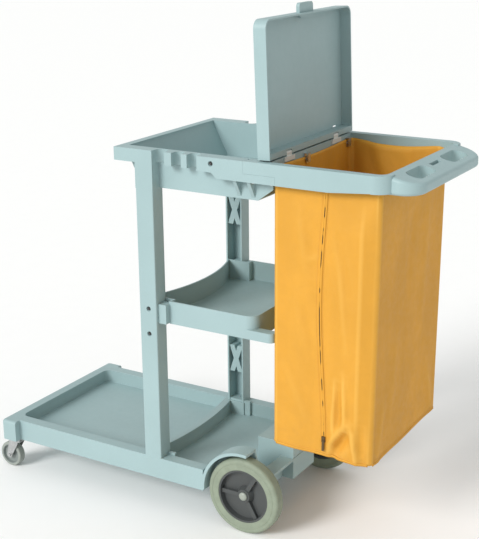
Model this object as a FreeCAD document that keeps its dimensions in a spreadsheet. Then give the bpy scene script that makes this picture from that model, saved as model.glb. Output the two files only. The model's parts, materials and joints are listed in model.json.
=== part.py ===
import FreeCAD, Part
import math
import os
import re

import Sketcher

# Housekeeping cart.  Millimetres, +Z up, origin on the floor under the middle of the whole cart.
# +X is the handle end, -X the end with the casters, and -Y the left side of the person who pushes.

SIZES = {
    # rear wheels and their axle
    "wheel_radius": 101.5,
    "wheel_width": 35,
    "wheel_x": 181,
    "wheel_outer_y": 226,
    "hub_radius": 71.5,
    "axle_radius": 6,
    "running_gap": 0.05,
    "bush_wall": 3.5,
    # base platform
    "deck_front": -597,
    "half_width": 230,
    "rim_top": 150,
    "wall_bottom": 91,
    "floor_top": 112,
    "floor_skin": 4,
    "rim_front": 33,
    "rim_side": 32,
    "wall": 5,
    "arch_front": 66,
    "well_side": 186,
    "rear_edge": 236,
    "rear_step": 198,
    "plate_skin": 8,
    "block_front": 130,
    "block_half_width": 58,
    "block_top": 190,
    "ridge_front": -108,
    "ridge_rear": -86,
    "ridge_radius": 900,
    "recess_corner": 20,
    "arch_gap": 10.5,
    "arch_skin": 8,
    "arch_end_angle": 83,
    "caster_block_length": 50,
    "caster_block_side": 250,
    "caster_block_round": 8,
    # posts
    "post_front": -114,
    "post_depth": 51,
    "post_inner": 188,
    "post_wall": 4.5,
    "post_top": 869,
    "rib_thickness": 16,
    "rib_height": 80,
    "upper_cross": 722,
    "lower_cross": 281,
    "foot_top": 156,
    "foot_depth": 18,
    # middle shelf
    "shelf_bottom": 521,
    "shelf_top": 580,
    "shelf_half_width": 205,
    "shelf_waist": 187,
    "shelf_side_start": -41,
    "shelf_rear": 208,
    "shelf_corner": 28,
    "shelf_front": -70,
    "shelf_bow": 38,
    "shelf_bow_radius": 474,
    "ledge_top": 545,
    "ledge_width": 26,
    "ledge_end": 257,
    # top tray
    "tray_top": 967,
    "tray_bottom": 870,
    "tray_front": -176,
    "tray_lip": 15,
    "tray_slope_foot": -109,
    "tray_half_width": 200,
    "tray_rear": 222,
    "flange_depth": 33,
    "flange_end": 66,
    "beam_end": 193,
    "beam_bottom": 931,
    "lap_bottom": 918,
    "lap_top": 938,
    "lap_end": 278,
    "gusset_end": 257,
    "gusset_foot": 900,
    "grip_radius": 14,
    "grip_a": 8,
    "grip_b": 52.5,
    "grip_wide_radius": 18.5,
    "grip_wide": -44.5,
    # bag frame and handle
    "frame_inner": 208,
    "bar_front": 238,
    "bar_rear": 256,
    "arm_bottom": 918,
    "arm_taper": 412,
    "frame_corner_start": 517,
    "frame_corner_radius": 42,
    "handle_top": 948,
    "handle_bottom": 922,
    "handle_start": 542,
    "handle_end": 618,
    "handle_half_width": 205,
    "handle_corner": 52,
    "handle_round": 9,
    "hand_hole_front": 559,
    "hand_hole_rear": 600,
    "hand_hole_near": 48,
    "hand_hole_far": 152,
    # lid and its hinge
    "hinge_x": 251,
    "hinge_z": 974,
    "hinge_pin_radius": 2.5,
    "knuckle_radius": 6,
    "bracket_y": 122,
    "bracket_half": 12,
    "knuckle_length": 13,
    "lid_lean": 2,
    "lid_front": 225,
    "lid_rear": 257,
    "lid_bottom": 971,
    "lid_top": 1288,
    "lid_half_width": 215,
    "lid_corner": 22,
    "lid_wall": 4,
    "lid_floor": 981,
    "tab_top": 1311,
    "tab_half_width": 34,
    "tab_depth": 9,
    "tab_setback": 12,
    "lid_lip": 3,
    "lip_notch": 13,
    # waste bag
    "bag_front": 258,
    "bag_rear": 533,
    "bag_top": 955,
    "bag_half_top": 203,
    "bag_half_bottom": 207,
    "bag_rear_bottom": 524,
    "bag_bottom": 264,
    "bag_wall": 3,
    "bag_corner": 14,
    "bag_rear_corner": 12,
    "zip_x": 400,
    # casters
    "caster_wheel_radius": 36,
    "caster_wheel_width": 22,
    "caster_wheel_x": -589,
    "caster_pivot_x": -566,
    "caster_y": 220,
    "caster_plate_top": 91,
    "king_pin_radius": 5,
    "caster_axle_radius": 3,
    # hooks, zip and screws
    "hook_far": 181,
    "hook_middle": -41,
    "eyelet_z": 943,
    "eyelet_radius": 4.5,
    "zip_gap": 0.3,
    "zip_skin": 1.2,
    "zip_width": 12,
    "zip_rest": 300,
    "screw_radius": 2.5,
    "screw_head_height": 3,
    "screw_sink": 3.3,
    "counterbore_radius": 6.5,
    "screw_boss": 7,
    "shelf_screw_x": -87,
    "upper_screw_z": 560,
    "lower_screw_z": 493,
    "beam_screw_x": 105,
    "beam_screw_z": 952,
}

os.makedirs("parts", exist_ok=True)
doc = FreeCAD.newDocument("housekeeping_cart")
sheet = doc.addObject("Spreadsheet::Sheet", "Dims")
for row, (alias, number) in enumerate(SIZES.items(), start=1):
    sheet.set("A%d" % row, alias)
    sheet.set("B%d" % row, str(number))
    sheet.setAlias("B%d" % row, alias)
doc.recompute()

SIDES = {"left": -1, "right": 1}
HOOK_PLACES = ("-hook_far", "hook_middle", "hook_far")
subparts = []


def ref(expression):
    """An expression of size names, written for this document's sheet."""
    def named(word):
        return "Dims." + word.group() if word.group() in SIZES else word.group()
    return re.sub(r"[A-Za-z_]\w*", named, str(expression))


def value(expression):
    """The number that an expression of size names stands for."""
    result = sheet.evalExpression(ref(expression))
    return float(getattr(result, "Value", result))


def bind(feature, **settings):
    """Bind properties to expressions; a double underscore stands for the dot in a property's name."""
    for name, expression in settings.items():
        feature.setExpression(name.replace("__", "."), ref(expression))


def place(feature, x=0, y=0, z=0, turn=0, about=(0, 0, 1)):
    """Put a feature at a point given by expressions, turned about an axis by a bound angle."""
    feature.Placement = FreeCAD.Placement(FreeCAD.Vector(), FreeCAD.Rotation(FreeCAD.Vector(*about), 1))
    bind(feature, Placement__Base__x=x, Placement__Base__y=y, Placement__Base__z=z)
    bind(feature, Placement__Rotation__Angle=turn)


# ---------------------------------------------------------------- sketches and features


def new_body(label):
    body = doc.addObject("PartDesign::Body", label)
    body.Label = label
    subparts.append(body)
    return body


def anchor(drawing, x, y, geometry, point):
    """Hold one point of a sketch at the place that two expressions give."""
    for kind, expression in (("DistanceX", x), ("DistanceY", y)):
        index = drawing.addConstraint(Sketcher.Constraint(kind, -1, 1, geometry, point, value(expression)))
        drawing.setExpression("Constraints[%d]" % index, ref(expression))


def arc_between(start, end, radius, side):
    """The shorter arc between two points; side is +1 when it bows to the left of the way along it."""
    chord = end - start
    half = chord.Length / 2
    sagitta = radius - math.sqrt(max(radius * radius - half * half, 0))
    left = FreeCAD.Vector(-chord.y, chord.x, 0).normalize()
    middle = (start + end) * 0.5 + left * (side * sagitta)
    return Part.Arc(start, middle, end)


def draw_outline(drawing, outline):
    """Close an outline of (x, y) corners; (x, y, radius, side) bows the edge that reaches that corner.

    Side is -1 for a bow out of an outline that runs anticlockwise.
    """
    corners = [FreeCAD.Vector(value(corner[0]), value(corner[1]), 0) for corner in outline]
    ends = []
    for number, corner in enumerate(outline):
        before = corners[number - 1]
        here = corners[number]
        radius = corner[2] if len(corner) == 4 else None
        if radius is None:
            edge = Part.LineSegment(before, here)
        else:
            edge = arc_between(before, here, value(radius), corner[3])
        index = drawing.addGeometry(edge)
        forwards = drawing.getPoint(index, 1).distanceToPoint(before) < 1e-4
        ends.append((index, (1, 2) if forwards else (2, 1)))
        if radius is not None:
            bow = drawing.addConstraint(Sketcher.Constraint("Radius", index, value(radius)))
            drawing.setExpression("Constraints[%d]" % bow, ref(radius))
    for number, corner in enumerate(outline):
        index, (_, finish) = ends[number]
        following, (start, _) = ends[(number + 1) % len(outline)]
        drawing.addConstraint(Sketcher.Constraint("Coincident", index, finish, following, start))
        anchor(drawing, corner[0], corner[1], index, finish)


def draw_circle(drawing, x, y, radius):
    centre = FreeCAD.Vector(value(x), value(y), 0)
    index = drawing.addGeometry(Part.Circle(centre, FreeCAD.Vector(0, 0, 1), value(radius)))
    size = drawing.addConstraint(Sketcher.Constraint("Radius", index, value(radius)))
    drawing.setExpression("Constraints[%d]" % size, ref(radius))
    anchor(drawing, x, y, index, 3)


def sketch(body, plane, offset, outlines=(), circles=()):
    """A sketch on one of the body's own origin planes, moved along its normal by an expression."""
    drawing = body.newObject("Sketcher::SketchObject", body.Name + "_sketch")
    base = [feature for feature in body.Origin.OriginFeatures if feature.Role == plane + "_Plane"][0]
    drawing.AttachmentSupport = (base, [""])
    drawing.MapMode = "FlatFace"
    bind(drawing, AttachmentOffset__Base__z=offset)
    for outline in outlines:
        draw_outline(drawing, outline)
    for circle in circles:
        draw_circle(drawing, *circle)
    return drawing


def extrude(body, kind, plane, offset, length, outlines=(), circles=(), both=False, back=False):
    """A Pad or a Pocket; it has to add or remove material."""
    before = body.Shape.Volume if body.Tip else 0
    feature = body.newObject("PartDesign::" + kind, "%s_%s" % (body.Name, kind.lower()))
    feature.Profile = sketch(body, plane, offset, outlines, circles)
    feature.SideType = "Symmetric" if both else "One side"
    feature.Reversed = back
    bind(feature, Length=length)
    feature.Refine = True
    doc.recompute()
    grown = body.Shape.Volume - before
    if (grown if kind == "Pad" else -grown) < 1:
        raise RuntimeError("%s of %s changed nothing" % (feature.Name, body.Label))
    return feature


def pad(body, plane, offset, length, *outlines, **options):
    return extrude(body, "Pad", plane, offset, length, outlines, **options)


def pocket(body, plane, offset, length, *outlines, **options):
    return extrude(body, "Pocket", plane, offset, length, outlines, **options)


def spin(body, outline, plane="XY"):
    """Turn an outline of (radius, along) corners about the body's Y axis, or about Z on the XZ plane."""
    feature = body.newObject("PartDesign::Revolution", body.Name + "_revolution")
    feature.Profile = sketch(body, plane, 0, [outline])
    feature.ReferenceAxis = (feature.Profile[0], ["V_Axis"])
    feature.Angle = 360
    doc.recompute()
    return feature


def mirror(body, *features):
    """Repeat features on the other side of the cart's middle plane."""
    feature = body.newObject("PartDesign::Mirrored", body.Name + "_mirrored")
    feature.Originals = list(features)
    plane = [item for item in body.Origin.OriginFeatures if item.Role == "XZ_Plane"][0]
    feature.MirrorPlane = (plane, [""])
    body.Tip = feature
    doc.recompute()
    return feature


def repeat_around(body, original, count):
    """Repeat a feature around the body's Y axis."""
    feature = body.newObject("PartDesign::PolarPattern", body.Name + "_pattern")
    feature.Originals = [original]
    axis = [item for item in body.Origin.OriginFeatures if item.Role == "Y_Axis"][0]
    feature.Axis = (axis, [""])
    feature.Angle = 360
    feature.Occurrences = count
    body.Tip = feature
    doc.recompute()
    return feature


def soften(body, radius, chosen):
    """Round the edges of the body's tip that the test picks."""
    tip = body.Tip
    names = ["Edge%d" % number for number, edge in enumerate(tip.Shape.Edges, start=1) if chosen(edge)]
    if not names:
        raise RuntimeError("no edge to round on " + body.Label)
    feature = body.newObject("PartDesign::Fillet", body.Name + "_fillet")
    feature.Base = (tip, names)
    bind(feature, Radius=radius)
    doc.recompute()
    return feature


def box(x0, x1, y0, y1):
    """The outline of a rectangle between two x and two y expressions."""
    return [(x0, y0), (x1, y0), (x1, y1), (x0, y1)]


def upright(edge):
    """Whether an edge is a straight one that runs along Z."""
    return edge.Curve.TypeId == "Part::GeomLine" and abs(edge.tangentAt(edge.FirstParameter).z) > 0.999


def mirrored_copy(source, label):
    """The same piece for the other side of the cart."""
    twin = doc.addObject("Part::Mirroring", label)
    twin.Label = label
    twin.Source = source
    twin.Normal = (0, 1, 0)
    subparts.append(twin)
    doc.recompute()
    return twin


def rounded(x0, x1, y0, y1, radius):
    """The outline of a rectangle with round corners."""
    radius = "(%s)" % radius
    return [
        ("%s + %s" % (x0, radius), y0, radius, -1), ("%s - %s" % (x1, radius), y0),
        (x1, "%s + %s" % (y0, radius), radius, -1), (x1, "%s - %s" % (y1, radius)),
        ("%s - %s" % (x1, radius), y1, radius, -1), ("%s + %s" % (x0, radius), y1),
        (x0, "%s - %s" % (y1, radius), radius, -1), (x0, "%s + %s" % (y0, radius))]


def near(number, expression, slack=0.05):
    return abs(number - value(expression)) < slack


# ---------------------------------------------------------------- base platform


def make_base():
    body = new_body("base_platform")
    pad(body, "XY", "wall_bottom", "rim_top - wall_bottom", [
        ("deck_front", "-half_width"), ("arch_front", "-half_width"), ("arch_front", "-well_side"),
        ("rear_edge", "-well_side"), ("rear_edge", "well_side"), ("arch_front", "well_side"),
        ("arch_front", "half_width"), ("deck_front", "half_width")])

    # the two decks are sunk below the rim, with a bowed ridge left standing between the posts
    recess_side = "(half_width - rim_side)"
    bow = "(ridge_radius - sqrt(ridge_radius^2 - %s^2))" % recess_side
    depth = "rim_top - floor_top"
    pocket(body, "XY", "rim_top", depth, [
        ("deck_front + rim_front + recess_corner", recess_side),
        ("deck_front + rim_front", recess_side + " - recess_corner", "recess_corner", -1),
        ("deck_front + rim_front", "recess_corner - " + recess_side),
        ("deck_front + rim_front + recess_corner", "-" + recess_side, "recess_corner", -1),
        ("ridge_front - " + bow, "-" + recess_side),
        ("ridge_front - " + bow, recess_side, "ridge_radius", -1)])
    pocket(body, "XY", "rim_top", depth, [
        ("ridge_rear - " + bow, recess_side),
        ("ridge_rear - " + bow, "-" + recess_side, "ridge_radius", 1),
        ("arch_front - wall", "-" + recess_side),
        ("arch_front - wall", "-well_side + wall"),
        ("rear_step", "-well_side + wall"),
        ("rear_step", "well_side - wall"),
        ("arch_front - wall", "well_side - wall"),
        ("arch_front - wall", recess_side)])

    # hollow underside: under the floor, under the ridge and under the rear plate
    under = "floor_top - floor_skin - wall_bottom"
    pocket(body, "XY", "wall_bottom", under, [
        ("deck_front + wall", "-half_width + wall"), ("arch_front - wall", "-half_width + wall"),
        ("arch_front - wall", "-well_side + wall"), ("rear_step", "-well_side + wall"),
        ("rear_step", "well_side - wall"), ("arch_front - wall", "well_side - wall"),
        ("arch_front - wall", "half_width - wall"), ("deck_front + wall", "half_width - wall")], back=True)
    corner_block = pad(
        body, "XY", "caster_plate_top", "rim_top - caster_plate_top",
        box("deck_front", "deck_front + caster_block_length", "-caster_block_side", "-half_width + rim_side"))
    mirror(body, corner_block)
    overhang = pocket(
        body, "XY", "wall_bottom", "rim_top - plate_skin - wall_bottom",
        box("rear_step + wall", "rear_edge + 1", "-well_side - 1", "-block_half_width"), back=True)
    mirror(body, overhang)

    # the middle of the rear edge stands up as a block that reaches forward on the deck
    pad(body, "XY", "floor_top - 1", "block_top - floor_top + 1",
        box("block_front", "rear_edge", "-block_half_width", "block_half_width"))
    pocket(body, "XY", "wall_bottom", "block_top - wall - wall_bottom",
           box("block_front + wall", "rear_edge - wall", "wall - block_half_width", "block_half_width - wall"),
           back=True)
    pocket(body, "YZ", "rear_edge", "1.5",
           box("-block_half_width", "block_half_width - 8", "rim_top - 1", "rim_top + 1.5"))

    # beam that carries the axle across the underside
    pad(body, "XZ", 0, "2 * (well_side - wall)",
        box("wheel_x - 13", "wheel_x + 13", "wall_bottom - 3", "floor_top - floor_skin + 1"), both=True)

    # wheel arches: a lip over each wheel and the web behind it
    lip_inner = "(wheel_radius + arch_gap)"
    lip_outer = "(wheel_radius + arch_gap + arch_skin)"
    end_x = "wheel_x + %s * cos(arch_end_angle * 1 deg)"
    end_z = "wheel_radius + %s * sin(arch_end_angle * 1 deg)"
    lip = pad(body, "XZ", "well_side - wall", "half_width - well_side + wall", [
        ("wheel_x - " + lip_outer, "wall_bottom + 4"),
        ("wheel_x - " + lip_outer, "wheel_radius"),
        ("wheel_x", "wheel_radius + " + lip_outer, lip_outer, 1),
        (end_x % lip_outer, end_z % lip_outer, lip_outer, 1),
        (end_x % lip_inner, end_z % lip_inner),
        ("wheel_x", "wheel_radius + " + lip_inner, lip_inner, -1),
        ("wheel_x - " + lip_inner, "wheel_radius", lip_inner, -1),
        ("wheel_x - " + lip_inner, "wall_bottom + 4")])
    web = pad(body, "XZ", "well_side - wall", "wall", [
        ("wheel_x - " + lip_inner, "rim_top - 4"),
        ("wheel_x - sqrt(%s^2 - (rim_top - wheel_radius)^2)" % lip_inner, "rim_top"),
        ("wheel_x", "wheel_radius + " + lip_inner, lip_inner, 1),
        (end_x % lip_inner, end_z % lip_inner, lip_inner, 1),
        ("rear_step + 14", "rim_top"),
        ("rear_step + 14", "rim_top - 4")])
    mirror(body, lip, web)
    pocket(body, "XZ", 0, "2 * (well_side + 2)", both=True,
           circles=[("wheel_x", "wheel_radius", "axle_radius")])

    # seats under the posts
    seat = pad(body, "XY", "floor_top - 1", "rim_top - floor_top + 1", box(
        "post_front - 3", "post_front + post_depth + 3", "post_inner - 3", "half_width - rim_side + 1"))
    mirror(body, seat)

    soften(body, "10", lambda edge: upright(edge) and near(edge.CenterOfMass.x, "deck_front")
           and abs(edge.CenterOfMass.y) > value("half_width") + 5)
    soften(body, "caster_block_round", lambda edge: near(edge.CenterOfMass.z, "rim_top")
           and near(abs(edge.CenterOfMass.y), "caster_block_side"))


# ---------------------------------------------------------------- posts


def crossed_ribs(body, middle):
    """Two crossed ribs inside the channel of a post."""
    bottom = middle + " - rib_height / 2"
    top = middle + " + rib_height / 2"
    left = "post_front + post_wall - 0.5"
    right = "post_front + post_depth - post_wall + 0.5"
    offset = "-(half_width - post_wall + 0.5)"
    depth = "half_width - post_wall - post_inner - 4"
    thick = "rib_thickness"
    for outline in (
            [(left, bottom), (left + " + " + thick, bottom), (right, top), (right + " - " + thick, top)],
            [(right + " - " + thick, bottom), (right, bottom), (left + " + " + thick, top), (left, top)]):
        pad(body, "XZ", offset, depth, outline)


def make_posts():
    """Upright channels, open towards the middle of the cart, with crossed ribs inside."""
    body = new_body("post_right")
    rear = "post_front + post_depth"
    pad(body, "XY", "rim_top", "post_top - rim_top", [
        ("post_front", "post_inner"), ("post_front", "half_width"),
        (rear, "half_width"), (rear, "post_inner"),
        (rear + " - post_wall", "post_inner"), (rear + " - post_wall", "half_width - post_wall"),
        ("post_front + post_wall", "half_width - post_wall"), ("post_front + post_wall", "post_inner")])
    crossed_ribs(body, "upper_cross")
    crossed_ribs(body, "lower_cross")
    pad(body, "XZ", "-(half_width - post_wall + 0.5)", "half_width - post_wall - post_inner - 4",
        circles=[("shelf_screw_x", "lower_screw_z", "screw_boss")])
    pad(body, "XY", "rim_top", "6", box(
        "post_front + post_wall - 0.5", rear + " - post_wall + 0.5", "post_inner + 3", "half_width - 1"))
    # window in the rear flange that takes the shelf's tongue
    pocket(body, "YZ", rear + " + 1", "post_wall + 2",
           box("post_inner + 5", "half_width - post_wall - 4", "shelf_bottom + 2", "shelf_top - 6"))
    # foot that stands behind the post, down on the rear deck
    pad(body, "XY", "floor_top + 0.3", "foot_top - floor_top - 0.3",
        box(rear + " + 3.3", rear + " + 3.3 + foot_depth", "post_inner + 1", "half_width - rim_side - 0.3"))
    pad(body, "XY", "rim_top", "foot_top - rim_top",
        box(rear + " - 1", rear + " + 3.3 + foot_depth", "post_inner + 1", "half_width - rim_side - 0.3"))
    pocket(body, "XZ", "-half_width", "screw_sink", back=True, circles=[
        ("shelf_screw_x", level, "counterbore_radius") for level in ("upper_screw_z", "lower_screw_z")])
    soften(body, "3", lambda edge: upright(edge) and near(edge.CenterOfMass.y, "half_width"))
    return mirrored_copy(body, "post_left")


# ---------------------------------------------------------------- middle shelf


def make_shelf():
    body = new_body("mid_shelf")
    front = "shelf_front - shelf_bow"
    corner_x = "shelf_rear - shelf_corner"
    corner_y = "shelf_half_width - shelf_corner"
    pad(body, "XY", "shelf_bottom", "shelf_top - shelf_bottom", [
        (front, "-shelf_waist", "shelf_bow_radius", 1), ("shelf_side_start", "-shelf_waist"),
        ("shelf_side_start", "-shelf_half_width"), (corner_x, "-shelf_half_width"),
        ("shelf_rear", "-%s" % ("(" + corner_y + ")"), "shelf_corner", -1),
        ("shelf_rear", corner_y), (corner_x, "shelf_half_width", "shelf_corner", -1),
        ("shelf_side_start", "shelf_half_width"), ("shelf_side_start", "shelf_waist"),
        (front, "shelf_waist")])
    inner = "shelf_half_width - wall"
    inner_waist = "shelf_waist - wall"
    inner_corner_y = "(shelf_half_width - shelf_corner)"
    pocket(body, "XY", "shelf_top", "shelf_top - shelf_bottom - wall", [
        (front + " + wall + 1", "-(%s)" % inner_waist, "shelf_bow_radius", 1),
        ("shelf_side_start + wall", "-(%s)" % inner_waist),
        ("shelf_side_start + wall", "-(%s)" % inner), (corner_x, "-(%s)" % inner),
        ("shelf_rear - wall", "-" + inner_corner_y, "shelf_corner - wall", -1),
        ("shelf_rear - wall", inner_corner_y), (corner_x, inner, "shelf_corner - wall", -1),
        ("shelf_side_start + wall", inner), ("shelf_side_start + wall", inner_waist),
        (front + " + wall + 1", inner_waist)])
    arm = pad(body, "XY", "shelf_bottom", "ledge_top - shelf_bottom", [
        ("shelf_rear - 60", "-shelf_half_width"), ("ledge_end - ledge_width / 2", "-shelf_half_width"),
        ("ledge_end", "-(shelf_half_width - ledge_width / 2)", "ledge_width / 2", -1),
        ("ledge_end - ledge_width / 2", "-(shelf_half_width - ledge_width)", "ledge_width / 2", -1),
        ("shelf_rear - 60", "-(shelf_half_width - ledge_width)")])
    tongue = pad(body, "XY", "shelf_bottom + 2.3", "shelf_top - shelf_bottom - 8.6", box(
        "post_front + 14", "shelf_side_start + 1",
        "-(half_width - post_wall - 4.3)", "-(post_inner + 5.3)"))
    mirror(body, arm, tongue)
    return body


# ---------------------------------------------------------------- top tray


def grip_notch(x, radius):
    """The outline of one tool grip: a round back, open towards the side of the cart."""
    back = "half_width - 14 - %s" % radius
    centre = "-(half_width - 14)"
    left = "%s - %s" % (x, radius)
    right = "%s + %s" % (x, radius)
    return [(left, "-half_width - 1"), (right, "-half_width - 1"), (right, centre),
            (x, "-(%s)" % back, radius, -1), (left, centre, radius, -1)]


def make_tray():
    body = new_body("top_tray")
    flange_bottom = "tray_top - flange_depth"
    pad(body, "XZ", 0, "2 * tray_half_width", [
        ("tray_slope_foot - 7", "tray_bottom"), ("tray_rear - wall", "tray_bottom"),
        ("tray_rear", "tray_bottom + 4"), ("tray_rear", "tray_top"),
        ("tray_front + tray_lip - 4", "tray_top"), ("tray_front + tray_lip - 4", flange_bottom),
        ("tray_front + tray_lip + 13", flange_bottom)], both=True)
    pad(body, "XY", flange_bottom, "flange_depth",
        box("tray_front", "flange_end", "-half_width", "half_width"))
    socket = pad(body, "XY", "post_top", flange_bottom + " - post_top", box(
        "post_front", "post_front + post_depth", "-half_width", "-post_inner"))
    beam = pad(body, "XZ", "tray_half_width - wall", "half_width - tray_half_width + wall", [
        ("flange_end - 1", "tray_top"), ("flange_end - 1", "beam_bottom"),
        ("flange_end + 40", "beam_bottom"), ("flange_end + 54", "lap_bottom"),
        ("gusset_end", "lap_bottom"), ("gusset_end", "lap_top - 0.3"),
        ("beam_end - 0.3", "lap_top - 0.3"), ("beam_end - 0.3", "tray_top")])
    ledge = pad(body, "XZ", "frame_inner + 0.3", "half_width - frame_inner - 0.3",
                box("gusset_end - 1", "lap_end", "lap_bottom", "lap_top - 0.3"))
    gusset = pad(body, "XZ", "tray_half_width - wall", "wall", [
        ("tray_rear - wall - 1", "tray_bottom"), ("gusset_end", "gusset_foot"),
        ("gusset_end", "lap_bottom + 1"), ("tray_rear - wall - 1", "lap_bottom + 1")])
    mirror(body, socket, beam, ledge, gusset)
    for setback in ("57", "95"):
        rib = pad(body, "YZ", "gusset_end - " + setback, "9", [
            ("-tray_half_width + 1", "lap_bottom + 1"), ("-tray_half_width - 26", "lap_bottom + 1"),
            ("-tray_half_width + 1", "tray_bottom + 4")])
        mirror(body, rib)
    counterbore = pocket(body, "XZ", "half_width", "screw_sink",
                         circles=[("beam_screw_x", "beam_screw_z", "counterbore_radius")])
    mirror(body, counterbore)
    pocket(body, "XZ", 0, "2 * (tray_half_width - wall)", [
        ("tray_slope_foot", "tray_bottom + wall"), ("tray_rear - wall", "tray_bottom + wall"),
        ("tray_rear - wall", "tray_top + 1"), ("tray_front + tray_lip + 7", "tray_top + 1"),
        ("tray_front + tray_lip + 7", "tray_top - 8")], both=True)
    grips = [pocket(body, "XY", "tray_top", "flange_depth", grip_notch(x, radius)) for x, radius in (
        ("grip_a", "grip_radius"), ("grip_b", "grip_radius"), ("grip_wide", "grip_wide_radius"))]
    mirror(body, *grips)
    # the flange and the post sockets are hollow below
    hollow = pocket(body, "XY", flange_bottom, "flange_depth - wall", box(
        "tray_front + wall", "post_front - wall", "-half_width + wall", "-tray_half_width"), back=True)
    mirror(body, hollow)
    pocket(body, "XY", flange_bottom, "flange_depth - wall", box(
        "tray_front + wall", "tray_front + tray_lip - 8", "-tray_half_width", "tray_half_width"), back=True)
    return body


# ---------------------------------------------------------------- bag frame and handle


def make_handle_frame():
    """The frame round the bag's mouth, in one moulding with the push handle."""
    body = new_body("handle_frame")
    # the grip, whose top slopes down from the frame to its outer edge
    low_y, high_y = "-(handle_half_width - handle_corner)", "(handle_half_width - handle_corner)"
    pad(body, "XY", "handle_bottom", "tray_top - handle_bottom", [
        ("handle_start", "-handle_half_width"), ("handle_end - handle_corner", "-handle_half_width"),
        ("handle_end", low_y, "handle_corner", -1), ("handle_end", high_y),
        ("handle_end - handle_corner", "handle_half_width", "handle_corner", -1),
        ("handle_start", "handle_half_width")])
    pocket(body, "XZ", 0, "2 * half_width", [
        ("handle_start", "tray_top"), ("handle_end + 1", "handle_top"),
        ("handle_end + 1", "tray_top + 1"), ("handle_start", "tray_top + 1")], both=True)
    soften(body, "handle_round", lambda edge: not upright(edge)
           and edge.BoundBox.XMax > value("handle_end - handle_corner / 2"))
    pad(body, "XY", "lap_top", "tray_top - lap_top",
        box("bar_front", "bar_rear", "-frame_inner - 1", "frame_inner + 1"))
    arm = pad(body, "XZ", "frame_inner", "half_width - frame_inner", [
        ("beam_end", "lap_top"), ("lap_end + 0.3", "lap_top"), ("lap_end + 0.3", "arm_bottom"),
        ("arm_taper", "arm_bottom"), ("frame_corner_start + 1", "arm_bottom + 9"),
        ("frame_corner_start + 1", "tray_top"), ("beam_end", "tray_top")])
    turn = "(half_width - frame_corner_radius)"
    junction = ("frame_corner_start + sqrt(frame_corner_radius^2 - (handle_half_width - %s)^2)" % turn)
    corner = pad(body, "XY", "arm_bottom + 8", "tray_top - arm_bottom - 8", [
        ("frame_corner_start", "-half_width"),
        (junction, "-handle_half_width", "frame_corner_radius", -1), (junction, "-" + turn),
        ("handle_start", "-" + turn), ("handle_start - 20", "-frame_inner", "20", 1),
        ("frame_corner_start", "-frame_inner")])
    mirror(body, arm, corner)
    hole = pocket(body, "XY", "tray_top", "tray_top - handle_bottom + 1", rounded(
        "hand_hole_front", "hand_hole_rear", "hand_hole_near", "hand_hole_far", "18"))
    mirror(body, hole)
    pocket(body, "XY", "tray_top", "tray_top - handle_top + 6", box(
        "hand_hole_front + 8", "hand_hole_front + 19", "-26", "26"))
    return body


# ---------------------------------------------------------------- lid and hinge


def make_lid():
    """A shallow tray-shaped lid, drawn upright around its hinge axis and leaned back to its stop."""
    body = new_body("lid")
    front, rear = "lid_front - hinge_x", "lid_rear - hinge_x"
    low, high = "lid_bottom - hinge_z", "lid_top - hinge_z"
    edge_y = "lid_half_width"
    bend = "lid_corner"
    pad(body, "YZ", front, "lid_rear - lid_front", [
        ("-" + edge_y, low), (edge_y, low), (edge_y, high + " - " + bend),
        (edge_y + " - " + bend, high, bend, -1), ("-%s + %s" % (edge_y, bend), high),
        ("-" + edge_y, high + " - " + bend, bend, -1)])
    inner_y, inner_bend = "(lid_half_width - lid_wall)", "(lid_corner - lid_wall)"
    inner_low, inner_high = "lid_floor + lid_wall - hinge_z", "lid_top - lid_wall - hinge_z"
    pocket(body, "YZ", rear, "lid_rear - lid_front - lid_wall", [
        ("-" + inner_y, inner_low), (inner_y, inner_low), (inner_y, inner_high + " - " + inner_bend),
        (inner_y + " - " + inner_bend, inner_high, inner_bend, -1),
        ("-%s + %s" % (inner_y, inner_bend), inner_high),
        ("-" + inner_y, inner_high + " - " + inner_bend, inner_bend, -1)])
    # the foot is hollow too, behind a lip that is cut away for the hinge
    pocket(body, "YZ", rear + " - lid_lip", "lid_rear - lid_front - lid_wall - lid_lip",
           box("-" + inner_y, inner_y, low + " - 1", "lid_floor - hinge_z"))
    notch = pocket(body, "YZ", rear + " + 1", "lid_lip + 2", box(
        "bracket_y - lip_notch", "bracket_y + lip_notch", low + " - 1", "lid_floor - hinge_z"))
    mirror(body, notch)
    pad(body, "YZ", front + " + tab_setback", "tab_depth", rounded(
        "-tab_half_width", "tab_half_width", "lid_top - hinge_z - 12", "tab_top - hinge_z", "9"))
    knuckles = []
    for start in ("bracket_y - bracket_half - knuckle_length - 0.3", "bracket_y + bracket_half + 0.3"):
        knuckles.append(pad(body, "XZ", start, "knuckle_length", circles=[(0, 0, "knuckle_radius")]))
        knuckles.append(pad(body, "XZ", start, "knuckle_length",
                            box("-5", "4", "1", "lid_floor - hinge_z + 1")))
    mirror(body, *knuckles)
    pocket(body, "XZ", 0, "2 * lid_half_width - 40", both=True,
           circles=[(0, 0, "hinge_pin_radius + running_gap")])
    slot = pocket(body, "YZ", front + " + lid_wall + 1", "lid_wall + 2",
                  box("160", "182", "lid_floor - hinge_z + 5", "lid_floor - hinge_z + 9"))
    mirror(body, slot)
    place(body, "hinge_x", 0, "hinge_z", "-lid_lean", (0, 1, 0))
    return body


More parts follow.
